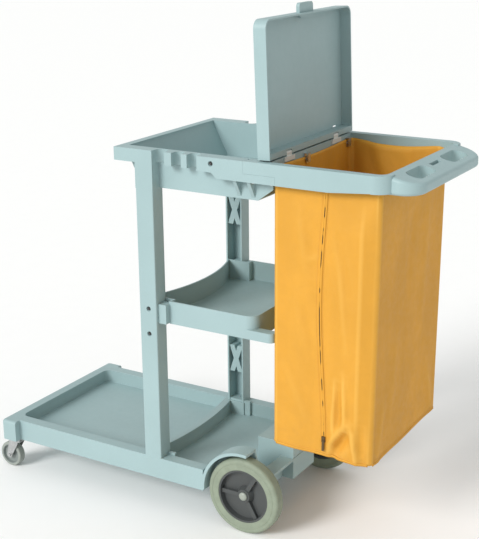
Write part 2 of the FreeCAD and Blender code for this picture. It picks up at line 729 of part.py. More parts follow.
def make_hinges():
    """Two ears on the front bar, each with a flange down the bar's face, and a pin through each."""
    body = new_body("lid_hinge_brackets")
    body.AllowCompound = True
    ear = pad(body, "XZ", "bracket_y - bracket_half", "2 * bracket_half",
              box("hinge_x - 6", "hinge_x + 6", "tray_top + 0.2", "hinge_z"))
    round_end = pad(body, "XZ", "bracket_y - bracket_half", "2 * bracket_half",
                    circles=[("hinge_x", "hinge_z", "knuckle_radius")])
    flange = pad(body, "XZ", "bracket_y - 24", "48",
                 box("bar_rear", "bar_rear + 3.5", "tray_top - 11", "tray_top - 0.3"))
    neck = pad(body, "XZ", "bracket_y - bracket_half", "2 * bracket_half",
               box("bar_rear + 0.1", "hinge_x + 6.5", "tray_top - 2", "tray_top + 2"))
    mirror(body, ear, round_end, flange, neck)
    pocket(body, "XZ", 0, "2 * lid_half_width", both=True, circles=[("hinge_x", "hinge_z", "hinge_pin_radius")])
    pins = []
    for side in SIDES.values():
        pin = doc.addObject("Part::Cylinder", "hinge_pin")
        bind(pin, Radius="hinge_pin_radius", Height="2 * (bracket_half + knuckle_length) + 2")
        middle = "(bracket_half + knuckle_length + 1)"
        place(pin, "hinge_x", "%d * bracket_y + %s" % (side, middle), "hinge_z", "90", (1, 0, 0))
        pins.append(pin)
    group("lid_hinge_pins", pins)


# ---------------------------------------------------------------- waste bag, zip and hooks


def loft(body, kind, levels):
    """A loft through (z, outline) levels."""
    drawings = [sketch(body, "XY", z, [outline]) for z, outline in levels]
    feature = body.newObject("PartDesign::" + kind, "%s_%s" % (body.Name, kind.lower()))
    feature.Profile = drawings[0]
    feature.Sections = drawings[1:]
    feature.Ruled = True
    doc.recompute()
    return feature


def bag_section(rear, half_width, inset):
    """The bag's outline at one level, with rounder corners at the rear than at the front."""
    x0 = "bag_front + " + inset
    x1 = "%s - %s" % (rear, inset)
    side = "%s - %s" % (half_width, inset)
    tight = "(bag_corner - %s)" % inset
    loose = "(bag_rear_corner - %s)" % inset
    return [
        ("%s + %s" % (x0, tight), "-(%s)" % side, tight, -1),
        ("%s - %s" % (x1, loose), "-(%s)" % side),
        (x1, "%s - (%s)" % (loose, side), loose, -1),
        (x1, "%s - %s" % (side, loose)),
        ("%s - %s" % (x1, loose), side, loose, -1),
        ("%s + %s" % (x0, tight), side),
        (x0, "%s - %s" % (side, tight), tight, -1),
        (x0, "%s - (%s)" % (tight, side))]


def make_bag():
    body = new_body("waste_bag")
    loft(body, "AdditiveLoft", [
        ("bag_bottom", bag_section("bag_rear_bottom", "bag_half_bottom", "0")),
        ("bag_top", bag_section("bag_rear", "bag_half_top", "0"))])
    loft(body, "SubtractiveLoft", [
        ("bag_bottom + bag_wall", bag_section("bag_rear_bottom", "bag_half_bottom", "bag_wall")),
        ("bag_top", bag_section("bag_rear", "bag_half_top", "bag_wall"))])
    pocket(body, "YZ", "bag_front + 5", "10", circles=[(y, "eyelet_z", "eyelet_radius") for y in HOOK_PLACES])
    return body


def make_hooks():
    """Straps on the front bar that reach over the bag's hem, with a peg back through each eyelet."""
    hooks = new_body("bag_hooks")
    hooks.AllowCompound = True
    for y in HOOK_PLACES:
        low, high = y + " - 6", y + " + 6"
        pad(hooks, "XY", "bag_top + 3", "1.5", box("bar_rear", "bag_front + 10", low, high))
        pad(hooks, "XY", "bag_top - 4", "8", box("bar_rear", "bar_rear + 1.5", low, high))
        pad(hooks, "XY", "eyelet_z - 6", "bag_top + 4 - eyelet_z + 6",
            box("bag_front + 8.5", "bag_front + 10", low, high))
    pad(hooks, "YZ", "bag_front - 1", "10", circles=[(y, "eyelet_z", "2") for y in HOOK_PLACES])
    eyelets = new_body("bag_eyelets")
    eyelets.AllowCompound = True
    pad(eyelets, "YZ", "bag_front + bag_wall + 0.1", "1.2",
        circles=[(y, "eyelet_z", radius) for y in HOOK_PLACES for radius in ("eyelet_radius + 4", "eyelet_radius")])


def make_zip():
    """A zip down the bag's left side, whose line leans with that side, and its slider."""
    lean = "(bag_half_bottom - bag_half_top) / (bag_top - bag_bottom)"
    side_y = "-(bag_half_bottom - (%s - bag_bottom) * " + lean + " + %s)"
    tape = new_body("zip_tape")
    low, high = "bag_bottom + 14", "bag_top - 26"
    pad(tape, "YZ", "zip_x", "zip_width", [
        (side_y % (low, "zip_gap + zip_skin"), low), (side_y % (low, "zip_gap"), low),
        (side_y % (high, "zip_gap"), high), (side_y % (high, "zip_gap + zip_skin"), high)], both=True)
    slider = new_body("zip_slider")
    low, high = "zip_rest", "zip_rest + 14"
    reach = "zip_gap + zip_skin + 0.3"
    pad(slider, "YZ", "zip_x", "9", [
        (side_y % (low, reach + " + 3.5"), low), (side_y % (low, reach), low),
        (side_y % (high, reach), high), (side_y % (high, reach + " + 3.5"), high)], both=True)
    pad(slider, "YZ", "zip_x", "6", [
        (side_y % (low, reach + " + 5.2"), low + " - 22"), (side_y % (low, reach + " + 3.7"), low + " - 22"),
        (side_y % (low, reach + " + 3"), low + " + 5"), (side_y % (low, reach + " + 4.5"), low + " + 5")],
        both=True)


# ---------------------------------------------------------------- rear wheels


def make_rear_wheel(name, side):
    """Tyre, hub and bush turn on the axle; the spacer and the cap stay with the axle."""
    half = "wheel_width / 2"
    centre_y = "%d * (wheel_outer_y - wheel_width / 2)" % side
    tyre = new_body("wheel_tyre_" + name)
    spin(tyre, [
        ("hub_radius", "-" + half + " + 2"), ("wheel_radius - 7", "-" + half),
        ("wheel_radius", "-" + half + " + 7", "7", -1), ("wheel_radius", half + " - 7"),
        ("wheel_radius - 7", half, "7", -1), ("hub_radius", half + " - 2")])
    hub = new_body("wheel_hub_" + name)
    bore = "(axle_radius + running_gap + bush_wall)"
    spin(hub, [
        (bore, "-16"), ("19", "-16"), ("22", "-7"), ("hub_radius - 9", "-4"), ("hub_radius - 7", "-15"),
        ("hub_radius", "-15"), ("hub_radius", "15"), ("hub_radius - 5", "15"), ("hub_radius - 6.5", "0"),
        ("24", "-2"), ("17", "12"), (bore, "12")])
    rib = pad(hub, "XY", 0, "11", [
        ("15", "-4"), ("hub_radius - 5", "-2"), ("hub_radius - 5", "9"), ("16", "9")], both=True)
    repeat_around(hub, rib, 3)
    bush = new_body("wheel_bush_" + name)
    spin(bush, [("axle_radius + running_gap", "-16"), (bore, "-16"), (bore, "12"),
                ("axle_radius + running_gap", "12")])
    spacer = new_body("axle_spacer_" + name)
    inner_face = "well_side - wheel_outer_y + wheel_width / 2"
    spin(spacer, [("axle_radius", inner_face), ("14", inner_face), ("14", "-16.3"), ("axle_radius", "-16.3")])
    cap = new_body("axle_cap_" + name)
    spin(cap, [
        (0, "15"), ("axle_radius", "15"), ("axle_radius", "12.4"), ("11", "12.4"), ("11", "15"),
        ("5", "18.4", "9", -1), (0, "18.4")])
    for piece in (tyre, hub, bush, spacer, cap):
        place(piece, "wheel_x", centre_y, "wheel_radius", "180" if side < 0 else "0")


def make_axle():
    axle = doc.addObject("Part::Cylinder", "rear_axle")
    axle.Label = "rear_axle"
    reach = "(wheel_outer_y - wheel_width / 2 + 15)"
    bind(axle, Radius="axle_radius", Height="2 * " + reach)
    place(axle, "wheel_x", reach, "wheel_radius", "90", (1, 0, 0))
    subparts.append(axle)


# ---------------------------------------------------------------- casters


def make_caster(name, side):
    """A swivel caster; its fork is drawn around the king pin and its wheel around its own axle."""
    pivot_y = "%d * caster_y" % side
    trail = "caster_wheel_x - caster_pivot_x"
    plate = new_body("caster_plate_" + name)
    pad(plate, "XY", "caster_plate_top - 3", "3", rounded("-28", "18", "-20", "20", "5"))
    pin = new_body("caster_king_pin_" + name)
    plate_bottom = "caster_plate_top - 3"
    spin(pin, [
        (0, "74.5"), ("8", "74.5"), ("8", "79.5"), ("king_pin_radius", "79.5"),
        ("king_pin_radius", plate_bottom), (0, plate_bottom)], "XZ")
    race = new_body("caster_bearing_" + name)
    spin(race, [
        ("king_pin_radius", "83.3"), ("13", "83.3"), ("16", "86"), ("16", plate_bottom),
        ("king_pin_radius", plate_bottom)], "XZ")
    fork = new_body("caster_fork_" + name)
    pad(fork, "XY", "80", "3", rounded("-20", "15", "-15.5", "15.5", "6"))
    cheek = pad(fork, "XZ", "13", "2.5", [
        ("-20", "83"), (trail + " - 9", "caster_wheel_radius"),
        (trail + " + 9", "caster_wheel_radius", "9.001", -1), ("9", "75"), ("9", "83")])
    mirror(fork, cheek)
    pocket(fork, "XY", "84", "6", circles=[(0, 0, "king_pin_radius + running_gap")])
    pocket(fork, "XZ", 0, "40", both=True, circles=[(trail, "caster_wheel_radius", "caster_axle_radius")])
    for piece in (plate, pin, race, fork):
        place(piece, "caster_pivot_x", pivot_y, 0)
    core = new_body("caster_core_" + name)
    half = "caster_wheel_width / 2"
    bore = "caster_axle_radius + running_gap"
    spin(core, [(bore, "-" + half + " - 1"), ("7", "-" + half + " - 1"), ("9", "-4"),
                ("caster_wheel_radius - 11", "-4"), ("caster_wheel_radius - 9", "-" + half),
                ("caster_wheel_radius - 7", "-" + half), ("caster_wheel_radius - 7", half),
                ("caster_wheel_radius - 9", half), ("caster_wheel_radius - 11", "4"), ("9", "4"),
                ("7", half + " + 1"), (bore, half + " + 1")])
    tyre = new_body("caster_tyre_" + name)
    spin(tyre, [("caster_wheel_radius - 7", "-" + half), ("caster_wheel_radius - 4", "-" + half),
                ("caster_wheel_radius", "-" + half + " + 4", "4", -1), ("caster_wheel_radius", half + " - 4"),
                ("caster_wheel_radius - 4", half, "4", -1), ("caster_wheel_radius - 7", half)])
    bolt = new_body("caster_bolt_" + name)
    spin(bolt, [(0, "-19"), ("5", "-19"), ("5.5", "-15.5"), ("caster_axle_radius", "-15.5"),
                ("caster_axle_radius", "20"), (0, "20")])
    nut = new_body("caster_nut_" + name)
    spin(nut, [("caster_axle_radius", "15.5"), ("5.5", "15.5"), ("5.5", "18"), ("4.8", "19"),
               ("caster_axle_radius", "19")])
    for piece in (core, tyre, bolt, nut):
        place(piece, "caster_wheel_x", pivot_y, "caster_wheel_radius")


# ---------------------------------------------------------------- screws


def group(label, members):
    """Identical small pieces that share one node as separate solids."""
    bundle = doc.addObject("Part::Compound", label)
    bundle.Label = label
    bundle.Links = members
    subparts.append(bundle)
    doc.recompute()
    return bundle


def screw(length, head, x, y, z, turn=0, about=(1, 0, 0)):
    """A screw whose head's underside is at the given point and whose shank runs along its own +Z."""
    shank = doc.addObject("Part::Cylinder", "shank")
    bind(shank, Radius="screw_radius", Height="%s + 0.1" % length)
    bind(shank, Placement__Base__z="-0.1")
    cap = doc.addObject("Part::Cone", "screw_head")
    bind(cap, Radius1=head + " * 0.7", Radius2=head, Height="screw_head_height")
    bind(cap, Placement__Base__z="-screw_head_height")
    whole = doc.addObject("Part::Fuse", "screw")
    whole.Base = cap
    whole.Tool = shank
    place(whole, x, y, z, turn, about)
    return whole


def make_screws():
    post_middle = "post_front + post_depth / 2"
    both = list(SIDES.values())
    group("base_screws", [
        screw("50", "screw_radius * 2", post_middle, "%d * (post_inner + 22)" % side, "floor_top - floor_skin")
        for side in both])
    group("shelf_screws", [
        screw("24", "screw_radius * 2", "shelf_screw_x", "%d * (half_width - screw_sink)" % side, level,
              "%d * 90" % side, (1, 0, 0))
        for side in both for level in ("upper_screw_z", "lower_screw_z")])
    group("beam_screws", [
        screw("26", "screw_radius * 2", "beam_screw_x", "%d * (half_width - screw_sink)" % side,
              "beam_screw_z", "%d * 90" % side, (1, 0, 0)) for side in both])
    group("frame_screws", [
        screw("34", "screw_radius * 2", x, "%d * (half_width - 11)" % side, "lap_bottom")
        for side in both for x in ("beam_end + 22", "lap_end - 14")])
    group("caster_screws", [
        screw("18", "screw_radius * 1.6", "caster_pivot_x + %s" % x, "%d * caster_y + %s" % (side, y),
              "caster_plate_top - 3")
        for side in both for x in ("-22", "14") for y in ("-15", "15")])


# ---------------------------------------------------------------- the whole cart

make_base()
make_posts()
make_shelf()
make_tray()
make_handle_frame()
make_lid()
make_hinges()
make_bag()
make_hooks()
make_zip()
make_axle()
for side_name, side_sign in SIDES.items():
    make_rear_wheel(side_name, side_sign)
    make_caster(side_name, side_sign)
make_screws()
doc.recompute()

for item in doc.Objects:
    if "Invalid" in item.State or "Error" in item.State:
        raise RuntimeError("%s failed: %s" % (item.Label, item.State))
for item in subparts:
    if item.Shape.isNull() or not item.Shape.isValid() or not item.Shape.Solids:
        raise RuntimeError(item.Label + " has no sound shape")
for item in subparts:
    item.Shape.exportStep("parts/%s.step" % item.Label)
    size = item.Shape.BoundBox
    print("%-24s solids %2d  volume %9.0f  x %7.1f %7.1f  y %7.1f %7.1f  z %7.1f %7.1f" % (
        item.Label, len(item.Shape.Solids), item.Shape.Volume,
        size.XMin, size.XMax, size.YMin, size.YMax, size.ZMin, size.ZMax))
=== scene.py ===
"""The housekeeping cart's looks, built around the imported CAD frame.

Metres.  +X is the handle end, -X the end with the casters, -Y the left side of the person who pushes.
"""

import json
import math

import bmesh
import bpy
from mathutils import Matrix, Vector, noise


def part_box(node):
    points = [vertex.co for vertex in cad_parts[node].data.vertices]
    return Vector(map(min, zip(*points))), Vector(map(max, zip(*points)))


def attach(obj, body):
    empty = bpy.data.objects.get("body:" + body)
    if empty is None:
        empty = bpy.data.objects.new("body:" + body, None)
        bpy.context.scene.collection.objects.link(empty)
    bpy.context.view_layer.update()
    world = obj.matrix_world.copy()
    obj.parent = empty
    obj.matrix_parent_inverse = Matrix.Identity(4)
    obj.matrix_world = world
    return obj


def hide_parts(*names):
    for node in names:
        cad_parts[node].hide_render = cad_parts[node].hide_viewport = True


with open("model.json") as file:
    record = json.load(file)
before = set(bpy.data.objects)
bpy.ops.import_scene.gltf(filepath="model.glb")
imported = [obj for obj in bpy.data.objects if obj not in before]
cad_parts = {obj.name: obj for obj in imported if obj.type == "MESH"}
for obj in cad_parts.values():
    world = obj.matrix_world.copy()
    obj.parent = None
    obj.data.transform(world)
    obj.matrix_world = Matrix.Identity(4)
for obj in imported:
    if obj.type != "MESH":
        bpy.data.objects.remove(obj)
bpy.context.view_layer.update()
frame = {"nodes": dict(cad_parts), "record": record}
nodes = frame["nodes"]
bodies = frame["record"]["behaviour"]["bodies"]
body_of = {node: body for body, members in bodies.items() for node in members}
slot_of = {node: item.data.materials[0].name for node, item in nodes.items()}

MM = 0.001
UP = Vector((0, 0, 1))

# the nodes whose look is another than their slot's
OTHER_LOOKS = {
    "zip_slider": "bronze",
    "axle_cap_left": "cap",
    "axle_cap_right": "cap",
    # the screws get near-black steel, a painted shade standing in for the shaded recesses round their
    # heads
    "shelf_screws": "recess_shade_steel",
    "beam_screws": "recess_shade_steel",
}
# the mouldings that get rounded edges, and the rounding's width in millimetres
EDGE_WIDTHS = {
    "base_platform": 1.6,
    "post_left": 1.2,
    "post_right": 1.2,
    "mid_shelf": 1.4,
    "top_tray": 1.4,
    "handle_frame": 1.6,
    "lid": 1.5,
}


def new_object(name, data):
    made = bpy.data.objects.new(name, data)
    bpy.context.scene.collection.objects.link(made)
    return made


# ---------------------------------------------------------------- camera, lights and floor


# solved from the cart's straight edges: azimuth, pitch and roll in degrees, and a lens in millimetres
CAMERA_PLACE = (1.571749, -2.519108, 1.534934)
CAMERA_ANGLES = (31.257, 17.225, -0.589)
CAMERA_LENS, SENSOR_WIDTH = 78.99, 36

KEY_FROM = (-0.26, -0.83, 0.49)
KEY_ENERGY, KEY_SPREAD = 2.36, 0.42
KEY_COLOUR = (1.0, 0.995, 0.985)
SKY_COLOUR, SKY_STRENGTH = (0.99, 1.0, 0.99, 1), 0.68
FLOOR_REACH = 60
FLOOR_TONES = (0.95, 0.953, 0.95), (0.97, 0.971, 0.97)


def make_camera():
    azimuth, pitch, roll = (math.radians(angle) for angle in CAMERA_ANGLES)
    forward = Vector((-math.sin(azimuth) * math.cos(pitch), math.cos(azimuth) * math.cos(pitch),
                      -math.sin(pitch)))
    level_right = Vector((math.cos(azimuth), math.sin(azimuth), 0))
    level_up = level_right.cross(forward)
    right = math.cos(roll) * level_right + math.sin(roll) * level_up
    up = -math.sin(roll) * level_right + math.cos(roll) * level_up
    data = bpy.data.cameras.new("camera")
    data.lens = CAMERA_LENS
    data.sensor_width = SENSOR_WIDTH
    camera = new_object("camera", data)
    turn = Matrix((right, up, -forward)).transposed().to_4x4()
    camera.matrix_world = Matrix.Translation(CAMERA_PLACE) @ turn
    bpy.context.scene.camera = camera


def make_lights():
    """One large far key from the front left, and an even sky."""
    data = bpy.data.lights.new("key_light", "SUN")
    data.energy = KEY_ENERGY
    data.angle = KEY_SPREAD
    data.color = KEY_COLOUR
    key = new_object("key_light", data)
    key.rotation_mode = "QUATERNION"
    key.rotation_quaternion = Vector(KEY_FROM).to_track_quat("Z", "Y")
    world = bpy.data.worlds.new("studio")
    world.use_nodes = True
    sky = world.node_tree.nodes["Background"].inputs
    sky["Color"].default_value = SKY_COLOUR
    sky["Strength"].default_value = SKY_STRENGTH
    bpy.context.scene.world = world
    bpy.context.scene.view_settings.view_transform = "Standard"


def make_floor():
    mesh = bpy.data.meshes.new("floor")
    corners = [(x * FLOOR_REACH, y * FLOOR_REACH, 0) for x, y in ((-1, -1), (1, -1), (1, 1), (-1, 1))]
    mesh.from_pydata(corners, [], [(0, 1, 2, 3)])
    floor = new_object("floor", mesh)
    look = Look("floor_look")
    speck = look.noise(14, 3)
    look.set(Base_Color=look.blend(speck, *FLOOR_TONES), Roughness=0.9)
    mesh.materials.append(look.material)


# ---------------------------------------------------------------- materials


# the sockets of a Mix node that mixes colours
MIX_FACTOR, MIX_FIRST, MIX_SECOND, MIX_RESULT = 0, 6, 7, 2

GREY = (0.322, 0.445, 0.455)
YELLOW = (0.680, 0.330, 0.036)
# paler yellow for crease ridges: partly faded vinyl, partly a painted highlight
FADED_AND_LIT_YELLOW = (0.86, 0.52, 0.12)
SOIL = (0.33, 0.17, 0.05)
WEAVE_PITCH = 0.0021


class Look:
    """A node material under construction; every pattern lies in the piece's own coordinates, in metres."""

    def __init__(self, name):
        self.material = bpy.data.materials.new(name)
        self.material.use_nodes = True
        self.tree = self.material.node_tree
        self.shader = self.tree.nodes["Principled BSDF"]
        self.coordinates = self.tree.nodes.new("ShaderNodeTexCoord").outputs["Object"]

    def node(self, kind, settings=None, **inputs):
        made = self.tree.nodes.new(kind)
        for name, setting in (settings or {}).items():
            setattr(made, name, setting)
        for name, source in inputs.items():
            self.feed(made.inputs[name.replace("_", " ")], source)
        return made

    def feed(self, socket, source):
        if isinstance(source, bpy.types.NodeSocket):
            self.tree.links.new(source, socket)
        elif isinstance(source, tuple) and socket.type == "RGBA":
            socket.default_value = (*source, 1)
        else:
            socket.default_value = source

    def stretched(self, scale, turn=(0, 0, 0)):
        return self.node("ShaderNodeMapping", Vector=self.coordinates, Scale=scale,
                         Rotation=turn).outputs["Vector"]

    def noise(self, scale, detail=2, where=None, roughness=0.5):
        return self.node("ShaderNodeTexNoise", Vector=where or self.coordinates, Scale=float(scale),
                         Detail=float(detail), Roughness=roughness).outputs["Fac"]

    def step(self, value, low, high, out_low=0.0, out_high=1.0):
        return self.node("ShaderNodeMapRange", {"interpolation_type": "SMOOTHSTEP"}, Value=value,
                         From_Min=low, From_Max=high, To_Min=out_low,
                         To_Max=out_high).outputs["Result"]

    def math(self, operation, first, second=0.0):
        made = self.node("ShaderNodeMath", {"operation": operation})
        self.feed(made.inputs[0], first)
        self.feed(made.inputs[1], second)
        return made.outputs[0]

    def blend(self, factor, first, second):
        made = self.node("ShaderNodeMix", {"data_type": "RGBA"})
        self.feed(made.inputs[MIX_FACTOR], factor)
        self.feed(made.inputs[MIX_FIRST], first)
        self.feed(made.inputs[MIX_SECOND], second)
        return made.outputs[MIX_RESULT]

    def bump(self, height, depth, strength=1.0, under=None):
        made = self.node("ShaderNodeBump", Height=height, Distance=depth, Strength=strength)
        if under is not None:
            self.feed(made.inputs["Normal"], under)
        return made.outputs["Normal"]

    def set(self, **inputs):
        for name, source in inputs.items():
            self.feed(self.shader.inputs[name.replace("_", " ")], source)


def shade(colour, factor):
    return tuple(min(1.0, part * factor) for part in colour)


def plastic_look(name, colour, roughness, wear=0.45, grain=1.0):
    """Moulded plastic: fine grain, a slow drift of tone, faint scuffs, and paler worn edges."""
    look = Look(name)
    drift = look.step(look.noise(5.5, 3), 0.3, 0.7)
    tone = look.blend(drift, shade(colour, 0.965), shade(colour, 1.03))
    fleck = look.step(look.noise(420, 2), 0.35, 0.65)
    tone = look.blend(look.math("MULTIPLY", fleck, 0.35), tone, shade(colour, 0.93))
    grime = look.step(look.noise(17, 5, roughness=0.65), 0.56, 0.78)
    tone = look.blend(look.math("MULTIPLY", grime, 0.10), tone, shade(colour, 0.72))
    scuffs = look.step(look.noise(9, 4, look.stretched((3, 3, 60), (0.5, 0.35, 0.3))), 0.64, 0.72)
    scuffs = look.math("MULTIPLY", scuffs, 0.16)
    tone = look.blend(scuffs, tone, shade(colour, 1.18))
    edge = look.node("ShaderNodeAttribute", {"attribute_name": "edge"}).outputs["Fac"]
    patches = look.step(look.noise(38, 3), 0.42, 0.60)
    worn = look.math("MULTIPLY", look.math("MULTIPLY", edge, patches), wear)
    tone = look.blend(worn, tone, shade(colour, 1.25))
    satin = look.step(look.noise(60, 3), 0.3, 0.7, roughness - 0.05, roughness + 0.06)
    rough = look.math("ADD", satin, scuffs)
    fine = look.bump(look.noise(1500, 2), 0.00012 * grain, 0.5)
    waves = look.bump(look.noise(26, 2), 0.0006, 0.35, fine)
    look.set(Base_Color=tone, Roughness=rough, Normal=waves)
    return look.material


def vinyl_look(name, colour):
    """Coated cloth: a plain weave under a satin coat, paler crease ridges that are partly faded vinyl and
    partly a painted highlight, and a little dirt low down.
    """
    look = Look(name)
    apart = look.node("ShaderNodeSeparateXYZ", Vector=look.coordinates)
    drift = look.step(look.noise(6, 4, look.stretched((1.6, 1.6, 0.7))), 0.32, 0.68)
    tone = look.blend(drift, shade(colour, 0.93), shade(colour, 1.04))
    cloudy = look.step(look.noise(30, 5, roughness=0.7), 0.35, 0.65)
    tone = look.blend(look.math("MULTIPLY", cloudy, 0.35), tone, shade(colour, 0.90))
    turns = 2 * math.pi / WEAVE_PITCH
    level = look.math("ADD", apart.outputs["X"], apart.outputs["Y"])
    warp = look.math("SINE", look.math("MULTIPLY", level, turns))
    weft = look.math("SINE", look.math("MULTIPLY", apart.outputs["Z"], turns))
    weave = look.math("MULTIPLY", warp, weft)
    tone = look.blend(look.step(weave, -1.0, 1.0, 0.0, 0.10), tone, shade(colour, 0.72))
    low_down = look.step(apart.outputs["Z"], 0.42, 0.25)
    soil = look.math("MULTIPLY", low_down, look.step(look.noise(24, 5, roughness=0.65), 0.45, 0.75))
    tone = look.blend(look.math("MULTIPLY", soil, 0.22), tone, SOIL)
    # paler on convex crease ridges: partly faded vinyl, partly a painted highlight along the bends
    crease = look.node("ShaderNodeAttribute", {"attribute_name": "crease"}).outputs["Fac"]
    tone = look.blend(look.math("MULTIPLY", crease, 0.35), tone, FADED_AND_LIT_YELLOW)
    rough = look.step(look.noise(75, 3), 0.3, 0.7, 0.54, 0.66)
    cloth = look.bump(weave, 0.00022, 0.5)
    soft = look.bump(look.noise(22, 4, look.stretched((1, 1, 0.6))), 0.0022, 0.55, cloth)
    look.set(Base_Color=tone, Roughness=rough, Normal=soft, Specular_IOR_Level=0.3)
    return look.material


def rubber_look(name, colour, roughness):
    """Grey rubber with a fine grain, moulding streaks round the wheel and dust in patches."""
    look = Look(name)
    dust = look.step(look.noise(34, 5, roughness=0.65), 0.40, 0.70)
    tone = look.blend(dust, shade(colour, 0.92), shade(colour, 1.06))
    fleck = look.step(look.noise(700, 2), 0.4, 0.7)
    tone = look.blend(look.math("MULTIPLY", fleck, 0.3), tone, shade(colour, 0.82))
    marks = look.step(look.noise(12, 4, look.stretched((1, 9, 1))), 0.60, 0.74)
    tone = look.blend(look.math("MULTIPLY", marks, 0.25), tone, shade(colour, 0.6))
    rough = look.step(look.noise(90, 3), 0.3, 0.7, roughness - 0.06, roughness + 0.08)
    grain = look.bump(look.noise(1300, 3), 0.0002, 0.6)
    look.set(Base_Color=tone, Roughness=rough, Normal=grain)
    return look.material


def metal_look(name, colour, roughness, spangle=0.0):
    """Plated steel: a crystalline sheen, fine scratches and dull patches."""
    look = Look(name)
    cells = look.node("ShaderNodeTexVoronoi", Vector=look.coordinates, Scale=260.0).outputs["Color"]
    grey = look.node("ShaderNodeSeparateColor", Color=cells).outputs["Red"]
    tone = look.blend(look.math("MULTIPLY", grey, spangle), colour, shade(colour, 0.72))
    dull = look.step(look.noise(55, 4), 0.4, 0.7)
    tone = look.blend(look.math("MULTIPLY", dull, 0.3), tone, shade(colour, 0.7))
    scratch = look.noise(30, 3, look.stretched((4, 4, 190), (0.2, 0.1, 0)))
    scratched = look.step(scratch, 0.3, 0.7, 0.0, 0.14)
    rough = look.math("ADD", scratched, look.step(dull, 0, 1, roughness, roughness + 0.1))
    look.set(Base_Color=tone, Roughness=rough, Metallic=1.0, Normal=look.bump(scratch, 0.0001, 0.35))
    return look.material


def tape_look(name, colour):
    """Woven zip tape."""
    look = Look(name)
    wave = look.node("ShaderNodeTexWave", {"bands_direction": "Z"}, Vector=look.coordinates,
                     Scale=210.0)
    ribs = wave.outputs["Fac"]
    tone = look.blend(ribs, shade(colour, 0.7), shade(colour, 1.25))
    tone = look.blend(look.step(look.noise(45, 3), 0.4, 0.7, 0.0, 0.4), tone, shade(colour, 1.6))
    look.set(Base_Color=tone, Roughness=0.75, Normal=look.bump(ribs, 0.0002, 0.6))
    return look.material


def thread_look(name):
    """Sewing thread, a little uneven in tone."""
    look = Look(name)
    tone = look.blend(look.noise(300, 2), (0.55, 0.25, 0.04), (0.80, 0.45, 0.10))
    look.set(Base_Color=tone, Roughness=0.7)
    return look.material


def make_looks():
    return {
        "grey_plastic": plastic_look("grey_plastic_look", GREY, 0.46),
        "yellow_vinyl": vinyl_look("yellow_vinyl_look", YELLOW),
        "zip_fabric": tape_look("zip_fabric_look", (0.055, 0.032, 0.015)),
        "grey_tyre": rubber_look("grey_tyre_look", (0.255, 0.300, 0.225), 0.66),
        "dark_plastic": plastic_look("dark_plastic_look", (0.060, 0.066, 0.066), 0.42, 0.3),
        "white_nylon": plastic_look("white_nylon_look", (0.66, 0.69, 0.66), 0.40, 0.2, 0.5),
        "steel": metal_look("steel_look", (0.60, 0.61, 0.62), 0.28),
        "bronze": metal_look("bronze_look", (0.16, 0.11, 0.06), 0.38),
        # near-black screw steel: painted shade for the shaded recesses round the screw heads
        "recess_shade_steel": metal_look("recess_shade_steel_look", (0.10, 0.10, 0.10), 0.42),
        "cap": plastic_look("cap_look", (0.30, 0.33, 0.29), 0.45, 0.2),
        "zinc_steel": metal_look("zinc_steel_look", (0.56, 0.57, 0.57), 0.36, 0.5),
        "caster_plastic": plastic_look("caster_plastic_look", (0.22, 0.25, 0.24), 0.45, 0.3),
        "caster_rubber": rubber_look("caster_rubber_look", (0.30, 0.33, 0.30), 0.6),
        "thread": thread_look("thread_look"),
    }


# ---------------------------------------------------------------- mesh helpers


MERGE_DISTANCE = 0.02 * MM
FLAT_ANGLE, SHARP_ANGLE = 1.0, 30
LATHE_STEPS, LATHE_SHARP_ANGLE = 144, 35


def add_object(name, mesh, slot, body, look=None):
    made = new_object(name, mesh)
    mesh.materials.append(look or looks[slot])
    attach(made, body)
    return made


def finished(bm, name):
    """The bmesh as a mesh."""
    mesh = bpy.data.meshes.new(name)
    bm.to_mesh(mesh)
    bm.free()
    return mesh


def add_skin(made, thickness):
    """Gives a sheet its thickness, inwards."""
    skin = made.modifiers.new("skin", "SOLIDIFY")
    skin.thickness = thickness
    skin.offset = -1


def sharpened(mesh, sharp_angle):
    """Smooth shading, broken at edges sharper than the angle in degrees."""
    mesh.shade_smooth()
    bm = bmesh.new()
    bm.from_mesh(mesh)
    for edge in bm.edges:
        folded = edge.calc_face_angle(0) >= math.radians(sharp_angle)
        edge.smooth = len(edge.link_faces) == 2 and not folded
    bm.to_mesh(mesh)
    bm.free()


def moulded(node, width):
    """A copy of a CAD node with its sharp edges rounded; it stands for the node."""
    bm = bmesh.new()
    bm.from_mesh(nodes[node].data)
    bmesh.ops.remove_doubles(bm, verts=bm.verts, dist=MERGE_DISTANCE)
    bmesh.ops.dissolve_limit(bm, angle_limit=math.radians(FLAT_ANGLE), verts=bm.verts, edges=bm.edges)
    bmesh.ops.dissolve_degenerate(bm, dist=MERGE_DISTANCE, edges=bm.edges)
    sharp = [edge for edge in bm.edges
             if len(edge.link_faces) == 2 and edge.calc_face_angle(0) > math.radians(SHARP_ANGLE)]
    rounded = bmesh.ops.bevel(bm, geom=sharp, offset=width, offset_type="OFFSET", segments=2,
                              profile=0.5, affect="EDGES", clamp_overlap=True,
                              miter_outer="SHARP", loop_slide=True)
    layer = bm.loops.layers.float.new("edge")
    for face in rounded["faces"]:
        for loop in face.loops:
            loop[layer] = 1.0
    bmesh.ops.triangulate(bm, faces=[face for face in bm.faces if len(face.verts) > 4])
    mesh = finished(bm, node + "_moulding")
    mesh.shade_smooth()
    made = add_object(node + "_moulding", mesh, slot_of[node], body_of[node])
    normals = made.modifiers.new("normals", "WEIGHTED_NORMAL")
    normals.keep_sharp = True
    normals.weight = 60
    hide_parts(node)


